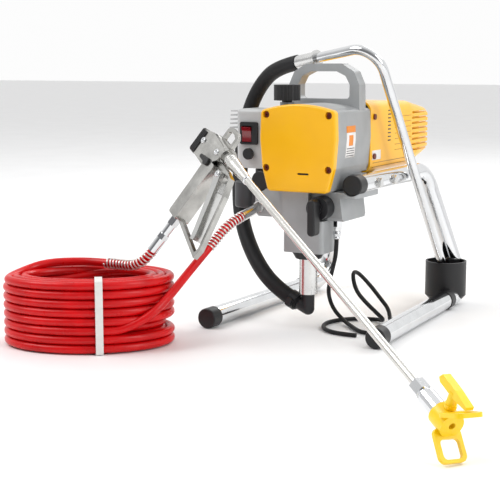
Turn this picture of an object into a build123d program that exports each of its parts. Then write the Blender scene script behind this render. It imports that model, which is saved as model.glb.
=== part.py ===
"""Airless paint sprayer on a tube stand, with its suction set, hose, gun and pole.

Millimetres.  X points to the right, Y to the back and Z up; the floor is Z = 0.
"""
import math
import os
from build123d import *

os.makedirs("parts", exist_ok=True)

# ---- stand
TUBE_R = 15.0
TUBE_WALL = 2.0
CAP_R = 16.0
CAP_LENGTH = 24.0
CAP_FRONT = 4.0
ARM_X = 78.0
ARM_Z = 231.0
ARM_FRONT_Y = -109.0
HIP_Y = 192.0
HEEL = (131.0, 257.0, CAP_R)
TOE = (143.3, -166.0, CAP_R)
BEND_R = 45.0
SLEEVE_Y = 150.0
SLEEVE_LENGTH = 20.0
SADDLE_BOLT_Y = -40.0
CRADLE_BOLT_Y = 20.0
BOLT_R = 4.0

# ---- drive housing
COVER_Y = -138.0
HOUSING_Y = -126.0
SHROUD_Y = -6.0
HOUSING_BOTTOM = 220.0
HOUSING_TOP = 352.0
HOUSING_WALL = 7.0
WALL_FRONT_Y = -62.0
WALL_BACK_Y = -50.0
SCREW_X = 52.0
SCREW_ZS = (255.5, 336.0)
HANDLE_FRONT_Y = -46.0
HANDLE_DEPTH = 24.0
HANDLE_TOP = 412.0
SHROUD_BACK_Y = 258.0
SHROUD_WALL = 3.0
SHROUD_SCREW_Y = 8.0
SHROUD_SCREW_ZS = (267.0, 329.0)

# ---- gear train and crank
AXIS_Z = 296.0
IDLER_X = -24.0
IDLER_Z = 278.0
SHAFT_R = 6.0
RUNNING = 0.04
MODULE = 1.0
PINION_TEETH = 12
WHEEL_TEETH = 48
SMALL_TEETH = 14
CRANK_TEETH = 46
TOOTH_GAP = 0.25
THROW = 8.0
PIN_R = 4.0
STROKE = 2 * THROW

# ---- pump
PUMP_Y = -95.0
SADDLE_X = 88.0
SADDLE_BOTTOM = 176.0
BLOCK_BOTTOM = 126.0
CYLINDER_BOTTOM = 58.0
CYLINDER_R = 14.2
BORE_R = 9.5
ROD_R = 6.0
PISTON_R = 9.2
VALVE_X = 33.5
VALVE_Z = 197.0
VALVE_R = 18.0
BARB = (50.0, -100.0, 158.0)
ELBOW_R = 10.0
BOWL = (-113.0, -92.0)
BOWL_R = 17.0

# ---- controls
BOX_X = (-124.0, -63.5)
BOX_Y = (-104.0, -30.0)
BOX_Z = (250.0, 342.0)
SWITCH_X = -99.5
SWITCH_Z = 304.5
ROCKER_X = -103.0
ROCKER_Z = 303.0
GLAND_X = -108.0
GLAND_Y = -52.0
BUTTON_X = -98.5
BUTTON_Z = 272.8
KNOB_X = -41.0
KNOB_Y = -90.0
KNOB_R = 20.5

# ---- suction set
SUCTION_HOSE_R = 12.5
SUCTION_TUBE_R = 8.0
CUFF_R = 11.0
CUP = (117.0, 206.0)
CUP_R = 35.0
CUP_WALL = 3.0
CUP_Z = (3.0, 76.0)
TUBE_FOOT = (118.8, 206.3, 41.6)
TUBE_KNEE = (85.6, -44.0, 440.0)
TUBE_HEAD = (-63.4, 0.0, 414.4)

# ---- gun, pole and tip
GUN_HEAD = Vector(-74.1, -234.3, 287.9)
POLE_END = Vector(361.0, -554.1, 64.5)
GRIP_DOWN = Vector(-0.566, -0.204, -0.798)
POLE_R = 5.3
GUARD_ROLL = 26.4

# ---- high-pressure hose
HOSE_R = 6.3
FERRULE_R = 8.2
SPRING_R = 9.0
COIL_CENTRE = (-250.3, -325.2)
COIL_TURN = 28.9
COIL_A = 128.0
COIL_B = 88.0
COIL_BAND = 39.0
TIE_ANGLE = -78.0
COIL_Z = (1.0, 106.0)
RETURN_HOSE_R = 3.3


def front(y):
    """Plane facing the front of the machine at depth y; its own x is X and its own y is Z."""
    return Plane.XZ.offset(-y)


def along(start, direction):
    """Plane at a point, facing along a direction."""
    return Plane(origin=start, z_dir=direction)


def save(builder, label):
    """Name the finished sub-part and write it out."""
    builder.part.label = label
    export_step(builder.part, f"parts/{label}.step")
    print(f"{label:22s} {builder.part.volume:12.1f} mm3  solids {len(builder.part.solids())}")


def cord_runs(points):
    """Straight runs between the points of a cord's route."""
    return [Vector(*after) - Vector(*before) for before, after in zip(points, points[1:])]


def cord_radii(points, share=0.45):
    """One bend radius for each inner point; the end runs have a bend at one end only."""
    runs = cord_runs(points)
    room = [run.length for run in runs]
    room[0] *= 2
    room[-1] *= 2
    radii = []
    for number, (run_in, run_out) in enumerate(zip(runs, runs[1:])):
        half_turn = math.radians(run_in.get_angle(run_out) / 2)
        radii.append(share * min(room[number], room[number + 1]) / math.tan(half_turn))
    return radii


def cord(points, radius, label):
    """Round cord along a route of straight runs and arcs; prints its length and bends."""
    runs = cord_runs(points)
    radii = cord_radii(points)
    with BuildPart() as tube:
        with BuildLine() as route:
            FilletPolyline(*points, radius=radii)
        with BuildSketch(along(points[0], runs[0])):
            Circle(radius)
        sweep(path=route.wires()[0])
    save(tube, label)
    length = route.wires()[0].length
    ratio = tube.part.volume / (math.pi * radius**2 * length)
    turns = [round(run_in.get_angle(run_out)) for run_in, run_out in zip(runs, runs[1:])]
    print(f"{label}: length {length:.1f}, volume ratio {ratio:.4f}")
    print("  radii", [round(r, 1) for r in radii], "turns", turns)


# ======================================================================== stand
def frame_points(side):
    """Centre line of one side frame: front of the arm, hip, heel, front of the runner."""
    heel = Vector(side * HEEL[0], HEEL[1], HEEL[2])
    toe = Vector(side * TOE[0], TOE[1], TOE[2])
    runner = (heel - toe).normalized()
    arm_start = Vector(side * ARM_X, ARM_FRONT_Y + CAP_FRONT, ARM_Z)
    hip = Vector(side * ARM_X, HIP_Y, ARM_Z)
    return [arm_start, hip, heel, toe + runner * CAP_FRONT]


def side_frame(side, label):
    """One bent tube: upper arm, splayed rear leg and floor runner."""
    points = frame_points(side)
    with BuildPart() as frame:
        with BuildLine() as route:
            FilletPolyline(*points, radius=BEND_R)
        with BuildSketch(along(points[0], (0, 1, 0))):
            Circle(TUBE_R)
            Circle(TUBE_R - TUBE_WALL, mode=Mode.SUBTRACT)
        sweep(path=route.wires()[0])
        with Locations((side * ARM_X, SADDLE_BOLT_Y, ARM_Z), (side * ARM_X, CRADLE_BOLT_Y, ARM_Z)):
            Cylinder(BOLT_R, 3 * TUBE_R, rotation=(0, 90, 0), mode=Mode.SUBTRACT)
    save(frame, label)


side_frame(-1, "side_frame_left")
side_frame(1, "side_frame_right")

with BuildPart() as tube_caps:
    for side in (-1, 1):
        arm_start, hip, heel, runner_start = frame_points(side)
        runner = (heel - runner_start).normalized()
        for start, direction in ((arm_start, Vector(0, 1, 0)), (runner_start, runner)):
            with BuildSketch(along(start - direction * CAP_FRONT, direction)):
                Circle(CAP_R)
            extrude(amount=CAP_LENGTH)
            with BuildSketch(along(start, direction)):
                Circle(TUBE_R)
            extrude(amount=CAP_LENGTH, mode=Mode.SUBTRACT)
        to_sleeve = (SLEEVE_Y - runner_start.Y) / runner.Y
        with BuildSketch(along(runner_start + runner * to_sleeve, runner)):
            Circle(CAP_R)
            Circle(TUBE_R, mode=Mode.SUBTRACT)
        extrude(amount=SLEEVE_LENGTH)
    faces = [f for f in tube_caps.faces().filter_by(GeomType.PLANE) if f.normal_at().Y < -0.9]
    fronts = [f for f in faces if f.center().Y < ARM_FRONT_Y + 1]
    fillet([e for f in fronts for e in f.edges()], 2.5)
save(tube_caps, "tube_caps")

with BuildPart() as saddle_casting:
    with BuildSketch(front(-112)):
        with Locations((0, (SADDLE_BOTTOM + HOUSING_BOTTOM) / 2)):
            Rectangle(2 * SADDLE_X, HOUSING_BOTTOM - SADDLE_BOTTOM)
    extrude(amount=-87)
    fillet(saddle_casting.edges().filter_by(Axis.Z), 8)
    lower = saddle_casting.edges().group_by(Axis.Z)[0]
    chamfer(lower, 5)
    with BuildSketch(front(-120)):
        with BuildLine():
            Polyline((66, 170), (100, 170), (100, 212), (60, 212), close=True)
        make_face()
    extrude(amount=-100, mode=Mode.SUBTRACT)
    for side in (-1, 1):
        with Locations((side * 62.5, -44, 232)):
            Box(10, 32, 24)
    for side in (-1, 1):
        with Locations((side * ARM_X, -60, ARM_Z)):
            Cylinder(TUBE_R, 200, rotation=(90, 0, 0), mode=Mode.SUBTRACT)
        with Locations((side * ARM_X, -100, ARM_Z)):
            Cylinder(CAP_R, 2 * (CAP_LENGTH - 9), rotation=(90, 0, 0), mode=Mode.SUBTRACT)
        with Locations((side * ARM_X, SADDLE_BOLT_Y, ARM_Z)):
            Cylinder(BOLT_R, 60, rotation=(0, 90, 0), mode=Mode.SUBTRACT)
    with Locations((0, PUMP_Y, 198)):
        Cylinder(ROD_R + 3, 60, mode=Mode.SUBTRACT)
save(saddle_casting, "saddle_casting")

with BuildPart() as motor_cradle:
    with Locations((0, CRADLE_BOLT_Y, 231)):
        Box(140, 30, 18)
    for side in (-1, 1):
        with Locations((side * ARM_X, CRADLE_BOLT_Y, ARM_Z)):
            Cylinder(TUBE_R, 60, rotation=(90, 0, 0), mode=Mode.SUBTRACT)
            Cylinder(BOLT_R, 60, rotation=(0, 90, 0), mode=Mode.SUBTRACT)
save(motor_cradle, "motor_cradle")

with BuildPart() as frame_bolts:
    for side in (-1, 1):
        for y in (SADDLE_BOLT_Y, CRADLE_BOLT_Y):
            with BuildSketch(along((side * (ARM_X + TUBE_R), y, ARM_Z), (side, 0, 0))):
                RegularPolygon(7, 6)
            extrude(amount=5)
            with BuildSketch(along((side * (ARM_X + TUBE_R), y, ARM_Z), (side, 0, 0))):
                Circle(8.5)
            extrude(amount=1.2)
            with BuildSketch(along((side * (ARM_X + TUBE_R), y, ARM_Z), (-side, 0, 0))):
                Circle(BOLT_R)
            extrude(amount=37)
save(frame_bolts, "frame_bolts")


# ================================================================ drive housing
def disc(y_front, y_back, radius, x=0.0, z=AXIS_Z, mode=Mode.ADD):
    """Round disc about an axis along Y."""
    with BuildSketch(front(y_front)) as outline:
        with Locations((x, z)):
            Circle(radius)
    extrude(outline.sketch, amount=-(y_back - y_front), mode=mode)


def housing_outline(inset=0.0):
    """Front outline shared by the cover and the housing."""
    with BuildSketch() as outline:
        with BuildLine():
            left = [(-62, 342), (-63.5, 300), (-60, 257), (-50, 220)]
            right = [(50, 220), (60, 257), (63.5, 300), (62, 342)]
            Polyline(*left, *right)
            ThreePointArc((62, 342), (0, HOUSING_TOP), (-62, 342))
        make_face()
        fillet(outline.vertices(), 7)
        if inset:
            offset(amount=-inset, mode=Mode.REPLACE)
    return outline.sketch


with BuildPart() as gear_housing:
    with BuildSketch(front(HOUSING_Y)):
        add(housing_outline())
    extrude(amount=-(SHROUD_Y - HOUSING_Y))
    with Locations((0, 20, 233)):
        Box(160, 90, 26, mode=Mode.SUBTRACT)
    with BuildSketch(front(HANDLE_FRONT_Y)) as handle_outline:
        with BuildLine():
            outer_left = [(-61, 340), (-60, 380), (-51, 400), (-30, HANDLE_TOP)]
            outer_right = [(30, HANDLE_TOP), (51, 400), (60, 380), (61, 340)]
            Polyline(*outer_left, *outer_right, close=True)
        make_face()
        with BuildLine():
            inner_left = [(-44, 358), (-44, 380), (-37, 393), (-22, 400)]
            inner_right = [(22, 400), (37, 393), (44, 380), (44, 358)]
            Polyline(*inner_left, *inner_right, close=True)
        make_face(mode=Mode.SUBTRACT)
        corners = handle_outline.vertices().filter_by(lambda v: v.Y > 350)
        fillet(corners, 6)
    extrude(amount=-HANDLE_DEPTH)
    with Locations((KNOB_X, KNOB_Y, 346.5)):
        Cylinder(11, 13)
    with BuildSketch(front(HOUSING_Y)):
        add(housing_outline(HOUSING_WALL))
    extrude(amount=-(WALL_FRONT_Y - HOUSING_Y), mode=Mode.SUBTRACT)
    with BuildSketch(front(WALL_BACK_Y)):
        with Locations((0, 295)):
            RectangleRounded(108, 90, 10)
    extrude(amount=-(SHROUD_Y - WALL_BACK_Y), mode=Mode.SUBTRACT)
    with BuildSketch(front(HOUSING_Y)):
        with GridLocations(2 * SCREW_X, SCREW_ZS[1] - SCREW_ZS[0], 2, 2):
            with Locations((0, sum(SCREW_ZS) / 2)):
                Circle(6)
    extrude(amount=-30)
    with BuildSketch(front(HOUSING_Y)):
        for z in SCREW_ZS:
            with Locations((-SCREW_X, z), (SCREW_X, z)):
                Circle(2.5)
    extrude(amount=-12, mode=Mode.SUBTRACT)
    with Locations((0, -56, AXIS_Z)):
        Cylinder(15, 10, rotation=(90, 0, 0), mode=Mode.SUBTRACT)
        Cylinder(9, 14, rotation=(90, 0, 0), mode=Mode.SUBTRACT)
    with Locations((IDLER_X, -56, IDLER_Z)):
        Cylinder(9, 14, rotation=(90, 0, 0), mode=Mode.SUBTRACT)
    with Locations((0, PUMP_Y, 225)):
        Cylinder(ROD_R + 3, 20, mode=Mode.SUBTRACT)
    with Locations((KNOB_X, KNOB_Y, 348)):
        Cylinder(3 + RUNNING, 20, mode=Mode.SUBTRACT)
save(gear_housing, "gear_housing")

with BuildPart() as front_cover:
    with BuildSketch(front(COVER_Y)):
        add(housing_outline())
    extrude(amount=-(HOUSING_Y - COVER_Y))
    fillet(front_cover.faces().sort_by(Axis.Y)[0].edges(), 3.5)
    with BuildSketch(front(COVER_Y + 4)):
        add(housing_outline(4))
    extrude(amount=-8, mode=Mode.SUBTRACT)
    for x in (-SCREW_X, SCREW_X):
        for z in SCREW_ZS:
            with Locations((x, -131, z)):
                Cylinder(7, 10, rotation=(90, 0, 0))
            with Locations((x, COVER_Y, z)):
                Cylinder(5.6, 15, rotation=(90, 0, 0), mode=Mode.SUBTRACT)
            with Locations((x, -131, z)):
                Cylinder(2.5, 20, rotation=(90, 0, 0), mode=Mode.SUBTRACT)
    with BuildSketch(front(COVER_Y)):
        with Locations((10.5, 248)):
            SlotOverall(19, 3)
    extrude(amount=-2, mode=Mode.SUBTRACT)
save(front_cover, "front_cover")


def shroud_sections(wall, front_y, back_y):
    """Sections of the motor shroud, or of its inside when wall is above zero."""
    sections = []
    for y, width, low, high in ((front_y, 126, 240, 354), (170, 124, 240, 350), (back_y, 118, 259, 337)):
        with BuildSketch(front(y)) as section:
            with Locations((0, (low + high) / 2)):
                RectangleRounded(width - 2 * wall, high - low - 2 * wall, 16 - wall)
        sections.append(section.sketch.face())
    return sections


with BuildPart() as shroud_space:
    loft(shroud_sections(SHROUD_WALL, SHROUD_Y - 1, SHROUD_BACK_Y - SHROUD_WALL), ruled=True)

with BuildPart() as motor_shroud:
    loft(shroud_sections(0, SHROUD_Y, SHROUD_BACK_Y), ruled=True)
    fillet(motor_shroud.faces().sort_by(Axis.Y)[-1].edges(), 4)
    add(shroud_space.part, mode=Mode.SUBTRACT)
    for row in range(8):
        for side in (-1, 1):
            with Locations((side * 57, 222, 267 + 9 * row)):
                Box(30, 96, 3.2, mode=Mode.SUBTRACT)
    for side in (-1, 1):
        for z in SHROUD_SCREW_ZS:
            with Locations((side * 61, SHROUD_SCREW_Y, z)):
                Cylinder(2, 12, rotation=(0, 90, 0), mode=Mode.SUBTRACT)
save(motor_shroud, "motor_shroud")

with BuildPart() as housing_screws:
    for x in (-SCREW_X, SCREW_X):
        for z in SCREW_ZS:
            disc(-133.5, -130.5, 4.6, x, z)
            disc(-134, -132, 2.2, x, z, mode=Mode.SUBTRACT)
            disc(-130.5, -116, 2.5, x, z)
    for side in (-1, 1):
        for z in SHROUD_SCREW_ZS:
            with BuildSketch(along((side * 63, SHROUD_SCREW_Y, z), (side, 0, 0))):
                Circle(4.6)
            extrude(amount=2.6)
            with BuildSketch(along((side * 63, SHROUD_SCREW_Y, z), (-side, 0, 0))):
                Circle(2)
            extrude(amount=6)
save(housing_screws, "housing_screws")


# ============================================================ motor, gears, crank
def gear(y_front, y_back, teeth, x=0.0, z=AXIS_Z):
    """Spur gear whose teeth stop just inside the pitch circle."""
    tip = MODULE * teeth / 2 - TOOTH_GAP
    root = tip - 1.8 * MODULE
    with BuildSketch(front(y_front)) as outline:
        with Locations((x, z)):
            Circle(root)
            with PolarLocations((tip + root - 0.6) / 2, teeth):
                Rectangle(tip - root + 0.6, 1.4 * MODULE)
    extrude(outline.sketch, amount=-(y_back - y_front))


with BuildPart() as motor_end_plate:
    disc(-6, 8, 50)
    disc(-2, 9, 42, mode=Mode.SUBTRACT)
    disc(-6, 6, 20)
    disc(-2, 7, 13, mode=Mode.SUBTRACT)
    disc(-7, 0, 9, mode=Mode.SUBTRACT)
save(motor_end_plate, "motor_end_plate")

with BuildPart() as motor_stator:
    disc(8, 150, 50)
    disc(7, 144, 46, mode=Mode.SUBTRACT)
    disc(25, 115, 46)
    disc(20, 120, 30, mode=Mode.SUBTRACT)
    disc(136, 144, 18)
    disc(130, 142, 13, mode=Mode.SUBTRACT)
    disc(130, 151, 9, mode=Mode.SUBTRACT)
    with BuildSketch(front(150)):
        with Locations((0, AXIS_Z)):
            with PolarLocations(32, 8):
                Circle(6)
    extrude(amount=6.1, mode=Mode.SUBTRACT)
save(motor_stator, "motor_stator")

with BuildPart() as stator_windings:
    for y_front in (15, 115):
        disc(y_front, y_front + 10, 44)
        disc(y_front - 1, y_front + 11, 32, mode=Mode.SUBTRACT)
    fillet(stator_windings.edges().filter_by(GeomType.CIRCLE), 3)
save(stator_windings, "stator_windings")

with BuildPart() as rotor:
    disc(-30, 182, SHAFT_R)
    gear(-46, -30, PINION_TEETH)
    disc(25, 115, 29.4)
    with BuildSketch(front(25)):
        with Locations((0, AXIS_Z)):
            with PolarLocations(28.6, 16):
                Rectangle(4, 1.6)
    extrude(amount=-90, mode=Mode.SUBTRACT)
save(rotor, "rotor")

with BuildPart() as cooling_fan:
    disc(162, 180, 10)
    disc(162, 165, 44)
    with BuildSketch(front(165)):
        with Locations((0, AXIS_Z)):
            with PolarLocations(26, 9):
                Rectangle(34, 2.2, rotation=18)
    extrude(amount=-15)
    disc(161, 181, SHAFT_R, mode=Mode.SUBTRACT)
save(cooling_fan, "cooling_fan")

with BuildPart() as shaft_bearings:
    for y_front, y_back, outer, inner, x, z in (
        (-2, 6, 13, SHAFT_R, 0, AXIS_Z),
        (136, 142, 13, SHAFT_R, 0, AXIS_Z),
        (-61, -51, 15, 8, 0, AXIS_Z),
        (-61, -51, 9, 4, IDLER_X, IDLER_Z),
    ):
        disc(y_front, y_back, outer, x, z)
        disc(y_front - 1, y_back + 1, inner + RUNNING, x, z, mode=Mode.SUBTRACT)
save(shaft_bearings, "shaft_bearings")

with BuildPart() as intermediate_gear:
    disc(-82, -30, 4, IDLER_X, IDLER_Z)
    gear(-46, -36, WHEEL_TEETH, IDLER_X, IDLER_Z)
    gear(-80, -68, SMALL_TEETH, IDLER_X, IDLER_Z)
save(intermediate_gear, "intermediate_gear")

with BuildPart() as crank_gear:
    gear(-80, -68, CRANK_TEETH)
    disc(-68, -51, 8)
    disc(-104, -80, PIN_R, THROW)
save(crank_gear, "crank_gear")

with BuildPart() as piston_yoke:
    with Locations((0, PUMP_Y, AXIS_Z)):
        Box(2 * (THROW + PIN_R) + 15, 11, 2 * (STROKE + PIN_R) + 14)
        Box(2 * (THROW + PIN_R) + 1.2, 12, 2 * (STROKE + PIN_R) + 1.2, mode=Mode.SUBTRACT)
    with Locations((0, PUMP_Y, 263)):
        Cylinder(9, 14)
save(piston_yoke, "piston_yoke")

with BuildPart() as piston_rod:
    with Locations((0, PUMP_Y, 170)):
        Cylinder(ROD_R, 172)
    with Locations((0, PUMP_Y, 91)):
        Cylinder(PISTON_R, 14)
save(piston_rod, "piston_rod")


# ========================================================================= pump
with BuildPart() as pump_block:
    with BuildSketch(Plane.XY.offset(BLOCK_BOTTOM)):
        with Locations((4, -96)):
            RectangleRounded(68, 60, 7)
    extrude(amount=SADDLE_BOTTOM - BLOCK_BOTTOM)
    with Locations((-8, -119, 195.5)):
        Box(44, 14, 47)
    with Locations((0, PUMP_Y, 151)):
        Cylinder(10, 60, mode=Mode.SUBTRACT)
save(pump_block, "pump_block")

with BuildPart() as packing_rings:
    for number in range(4):
        with BuildSketch(Plane.XY.offset(146 + 7 * number)):
            with Locations((0, PUMP_Y)):
                Circle(10)
                Circle(ROD_R + RUNNING, mode=Mode.SUBTRACT)
        extrude(amount=5)
save(packing_rings, "packing_rings")

with BuildPart() as packing_nut:
    with Locations((0, PUMP_Y, 120)):
        Cone(20, 27, 12)
        Cylinder(CYLINDER_R, 20, mode=Mode.SUBTRACT)
save(packing_nut, "packing_nut")

with BuildPart() as pump_cylinder:
    with Locations((0, PUMP_Y, (CYLINDER_BOTTOM + BLOCK_BOTTOM) / 2)):
        Cylinder(CYLINDER_R, BLOCK_BOTTOM - CYLINDER_BOTTOM)
        Cylinder(BORE_R, 100, mode=Mode.SUBTRACT)
save(pump_cylinder, "pump_cylinder")

with BuildPart() as foot_valve:
    with Locations((0, PUMP_Y, CYLINDER_BOTTOM + 4)):
        Cylinder(BORE_R, 8)
        Cylinder(4, 10, mode=Mode.SUBTRACT)
    with Locations((0, PUMP_Y, CYLINDER_BOTTOM + 11.85)):
        Sphere(5.5)
save(foot_valve, "foot_valve")

ELBOW_DIRECTION = Vector(-math.cos(math.radians(25)), 0, math.sin(math.radians(25)))
ELBOW_CENTRE = Vector(0, PUMP_Y, 34)
HOSE_START = ELBOW_CENTRE + ELBOW_DIRECTION * 18

with BuildPart() as suction_elbow:
    with Locations((0, PUMP_Y, 46)):
        Cylinder(ELBOW_R, 24)
    with Locations(ELBOW_CENTRE):
        Sphere(ELBOW_R)
    with BuildSketch(along(ELBOW_CENTRE, ELBOW_DIRECTION)):
        Circle(ELBOW_R)
    extrude(amount=18)
save(suction_elbow, "suction_elbow")

with BuildPart() as prime_valve_body:
    disc(-136, -112, VALVE_R, VALVE_X, VALVE_Z)
    disc(-139, -136, 9, VALVE_X, VALVE_Z)
    disc(-140, -120, 5 + RUNNING, VALVE_X, VALVE_Z, mode=Mode.SUBTRACT)
save(prime_valve_body, "prime_valve_body")

with BuildPart() as prime_valve_handle:
    with BuildSketch(front(-158)):
        with Locations((VALVE_X, 184.5)):
            SlotOverall(55, 13, rotation=90)
    extrude(amount=-18)
    fillet(prime_valve_handle.faces().sort_by(Axis.Y)[0].edges(), 3)
    disc(-140, -123, 5, VALVE_X, VALVE_Z)
save(prime_valve_handle, "prime_valve_handle")

with BuildPart() as drain_barb:
    with BuildSketch(Plane.XY.offset(SADDLE_BOTTOM)):
        with Locations(BARB[:2]):
            RegularPolygon(6, 6)
    extrude(amount=-9)
    with BuildSketch(Plane.XY.offset(SADDLE_BOTTOM - 9)):
        with Locations(BARB[:2]):
            Circle(RETURN_HOSE_R)
    extrude(amount=-(SADDLE_BOTTOM - 9 - BARB[2]))
save(drain_barb, "drain_barb")

with BuildPart() as filter_bowl:
    with Locations((*BOWL, 208)):
        Cylinder(BOWL_R, 42)
    fillet(filter_bowl.edges().filter_by(GeomType.CIRCLE), 4)
    with Locations((-98, -92, 202)):
        Box(20, 16, 20)
    with Locations((*BOWL, 208)):
        Cylinder(BOWL_R - 4, 34, mode=Mode.SUBTRACT)
    with Locations((-92, -92, 202)):
        Cylinder(3, 40, rotation=(0, 90, 0), mode=Mode.SUBTRACT)
save(filter_bowl, "filter_bowl")

with BuildPart() as filter_element:
    with Locations((*BOWL, 208)):
        Cylinder(9, 34)
        Cylinder(6, 28, mode=Mode.SUBTRACT)
save(filter_element, "filter_element")

OUTLET = Vector(-76, -115, 192)
OUTLET_DIRECTION = Vector(-0.283, -0.906, -0.312).normalized()
FERRULE_A = OUTLET + OUTLET_DIRECTION * 14

with BuildPart() as outlet_fitting:
    disc(-118, -112, 9, OUTLET.X, OUTLET.Z)
    with BuildSketch(along(OUTLET, OUTLET_DIRECTION)):
        RegularPolygon(8.5, 6)
    extrude(amount=14)
    with Locations((OUTLET.X, -107, OUTLET.Z)):
        Box(40, 10, 40, mode=Mode.SUBTRACT)
save(outlet_fitting, "outlet_fitting")


# ===================================================================== controls
with BuildPart() as control_box:
    with Locations((sum(BOX_X) / 2, sum(BOX_Y) / 2, sum(BOX_Z) / 2)):
        Box(BOX_X[1] - BOX_X[0], BOX_Y[1] - BOX_Y[0], BOX_Z[1] - BOX_Z[0])
    fillet(control_box.edges().filter_by(Axis.Z).group_by(Axis.X)[0], 8)
    fillet(control_box.edges().group_by(Axis.Z)[-1].sort_by(Axis.X)[:5], 6)
    with Locations((-93.5, -67, 295)):
        Box(53, 66, 82, mode=Mode.SUBTRACT)
    with Locations((SWITCH_X, -104, SWITCH_Z)):
        Box(26, 20, 30, mode=Mode.SUBTRACT)
    with Locations((BUTTON_X, -104, BUTTON_Z)):
        Cylinder(5 + RUNNING, 20, rotation=(90, 0, 0), mode=Mode.SUBTRACT)
    with Locations((GLAND_X, GLAND_Y, 250)):
        Cylinder(6, 20, mode=Mode.SUBTRACT)
    for row in range(5):
        with Locations((BOX_X[0] - 8, -72, 312 + 6.5 * row)):
            Box(18, 44 - 2 * row, 2)
save(control_box, "control_box")

with BuildPart() as switch_bezel:
    with BuildSketch(front(-107)):
        with Locations((SWITCH_X, SWITCH_Z)):
            RectangleRounded(31, 35, 3)
    extrude(amount=-3)
    with Locations((SWITCH_X, -97, SWITCH_Z)):
        Box(26, 14, 30)
    with Locations((ROCKER_X, -100, ROCKER_Z)):
        Box(17, 16, 26, mode=Mode.SUBTRACT)
    with Locations((ROCKER_X, -102.5, ROCKER_Z)):
        Cylinder(1.6, 19.4, rotation=(0, 90, 0), mode=Mode.SUBTRACT)
save(switch_bezel, "switch_bezel")

with BuildPart() as switch_rocker:
    with BuildSketch(Plane.YZ.offset(ROCKER_X - 8)):
        with BuildLine():
            low, high = ROCKER_Z - 11.5, ROCKER_Z + 11.5
            Polyline((-107.5, low), (-99, low + 0.5), (-99, high - 0.5), (-110.5, high))
            ThreePointArc((-110.5, high), (-107.2, ROCKER_Z), (-107.5, low))
        make_face()
    extrude(amount=16)
    with Locations((ROCKER_X, -102.5, ROCKER_Z)):
        Cylinder(1.3, 18.8, rotation=(0, 90, 0))
save(switch_rocker, "switch_rocker")

with BuildPart() as reset_button:
    disc(-113, -108, 9, BUTTON_X, BUTTON_Z)
    disc(-108, -96, 5, BUTTON_X, BUTTON_Z)
    fillet(reset_button.faces().sort_by(Axis.Y)[0].edges(), 1.5)
save(reset_button, "reset_button")

with BuildPart() as circuit_board:
    with Locations((-94, -45, 295)):
        Box(46, 1.8, 72)
    for x in (-112, -76):
        for z in (264, 326):
            disc(-44.1, -34, 3, x, z)
    for z, radius in ((318, 9), (290, 7)):
        disc(-66, -45.9, radius, -102, z)
    with Locations((-82, -51, 300)):
        Box(16, 10.2, 30)
save(circuit_board, "circuit_board")

with BuildPart() as cord_gland:
    with Locations((GLAND_X, GLAND_Y, 243)):
        Cylinder(8, 14)
        Cylinder(3.5, 60, mode=Mode.SUBTRACT)
    with Locations((GLAND_X, GLAND_Y, 253)):
        Cylinder(6, 6)
        Cylinder(3.5, 60, mode=Mode.SUBTRACT)
save(cord_gland, "cord_gland")

with BuildPart() as pressure_knob:
    with Locations((KNOB_X, KNOB_Y, 368)):
        Cylinder(KNOB_R, 24)
    with BuildSketch(Plane.XY.offset(355)):
        with Locations((KNOB_X, KNOB_Y)):
            with PolarLocations(KNOB_R + 0.9, 24):
                Circle(1.6)
    extrude(amount=30, mode=Mode.SUBTRACT)
    fillet(pressure_knob.faces().sort_by(Axis.Z)[-1].outer_wire().edges(), 0.8)
    with Locations((KNOB_X, KNOB_Y, 354.7)):
        Cylinder(8, 2.8)
    with Locations((KNOB_X, KNOB_Y, 348)):
        Cylinder(3, 12)
save(pressure_knob, "pressure_knob")


# ================================================================== suction set
TUBE_UP = (Vector(*TUBE_KNEE) - Vector(*TUBE_FOOT)).normalized()
TUBE_LEVEL = (Vector(*TUBE_HEAD) - Vector(*TUBE_KNEE)).normalized()

with BuildPart() as suction_tube:
    with BuildLine() as route:
        FilletPolyline(TUBE_FOOT, TUBE_KNEE, TUBE_HEAD, radius=38)
    with BuildSketch(along(TUBE_FOOT, TUBE_UP)):
        Circle(SUCTION_TUBE_R)
        Circle(SUCTION_TUBE_R - 1.2, mode=Mode.SUBTRACT)
    sweep(path=route.wires()[0])
save(suction_tube, "suction_tube")

with BuildPart() as suction_cuff:
    with BuildSketch(along(TUBE_HEAD, -TUBE_LEVEL)):
        Circle(CUFF_R)
        Circle(SUCTION_TUBE_R, mode=Mode.SUBTRACT)
    extrude(amount=32)
    with BuildSketch(along(TUBE_HEAD, TUBE_LEVEL)):
        Circle(CUFF_R)
    extrude(amount=5)
    with BuildSketch(along(Vector(*TUBE_HEAD) - TUBE_LEVEL * 34, -TUBE_LEVEL)):
        Circle(CUFF_R + 2)
        Circle(SUCTION_TUBE_R, mode=Mode.SUBTRACT)
    extrude(amount=4)
save(suction_cuff, "suction_cuff")

with BuildPart() as inlet_strainer:
    with BuildSketch(along(Vector(*TUBE_FOOT) - TUBE_UP * 4, TUBE_UP)):
        Circle(SUCTION_TUBE_R + 3)
    extrude(amount=24)
    with BuildSketch(along(TUBE_FOOT, TUBE_UP)):
        Circle(SUCTION_TUBE_R)
    extrude(amount=24, mode=Mode.SUBTRACT)
save(inlet_strainer, "inlet_strainer")


def cup_body(inset, top):
    """Round cup with a tapered foot, inset by its wall for the hollow."""
    radius = CUP_R - inset
    low = CUP_Z[0] + inset
    with Locations((*CUP, low + 7)):
        Cone(radius - 13, radius, 14)
    with Locations((*CUP, (low + 14 + top) / 2)):
        Cylinder(radius, top - low - 14)


def cut_frame_from_cup(radius):
    """Remove the room that the right frame tube takes."""
    points = frame_points(1)
    with BuildLine() as route:
        FilletPolyline(*points, radius=BEND_R)
    with BuildSketch(along(points[0], (0, 1, 0))) as section:
        Circle(radius)
    sweep(section.sketch, path=route.wires()[0], mode=Mode.SUBTRACT)


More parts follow.
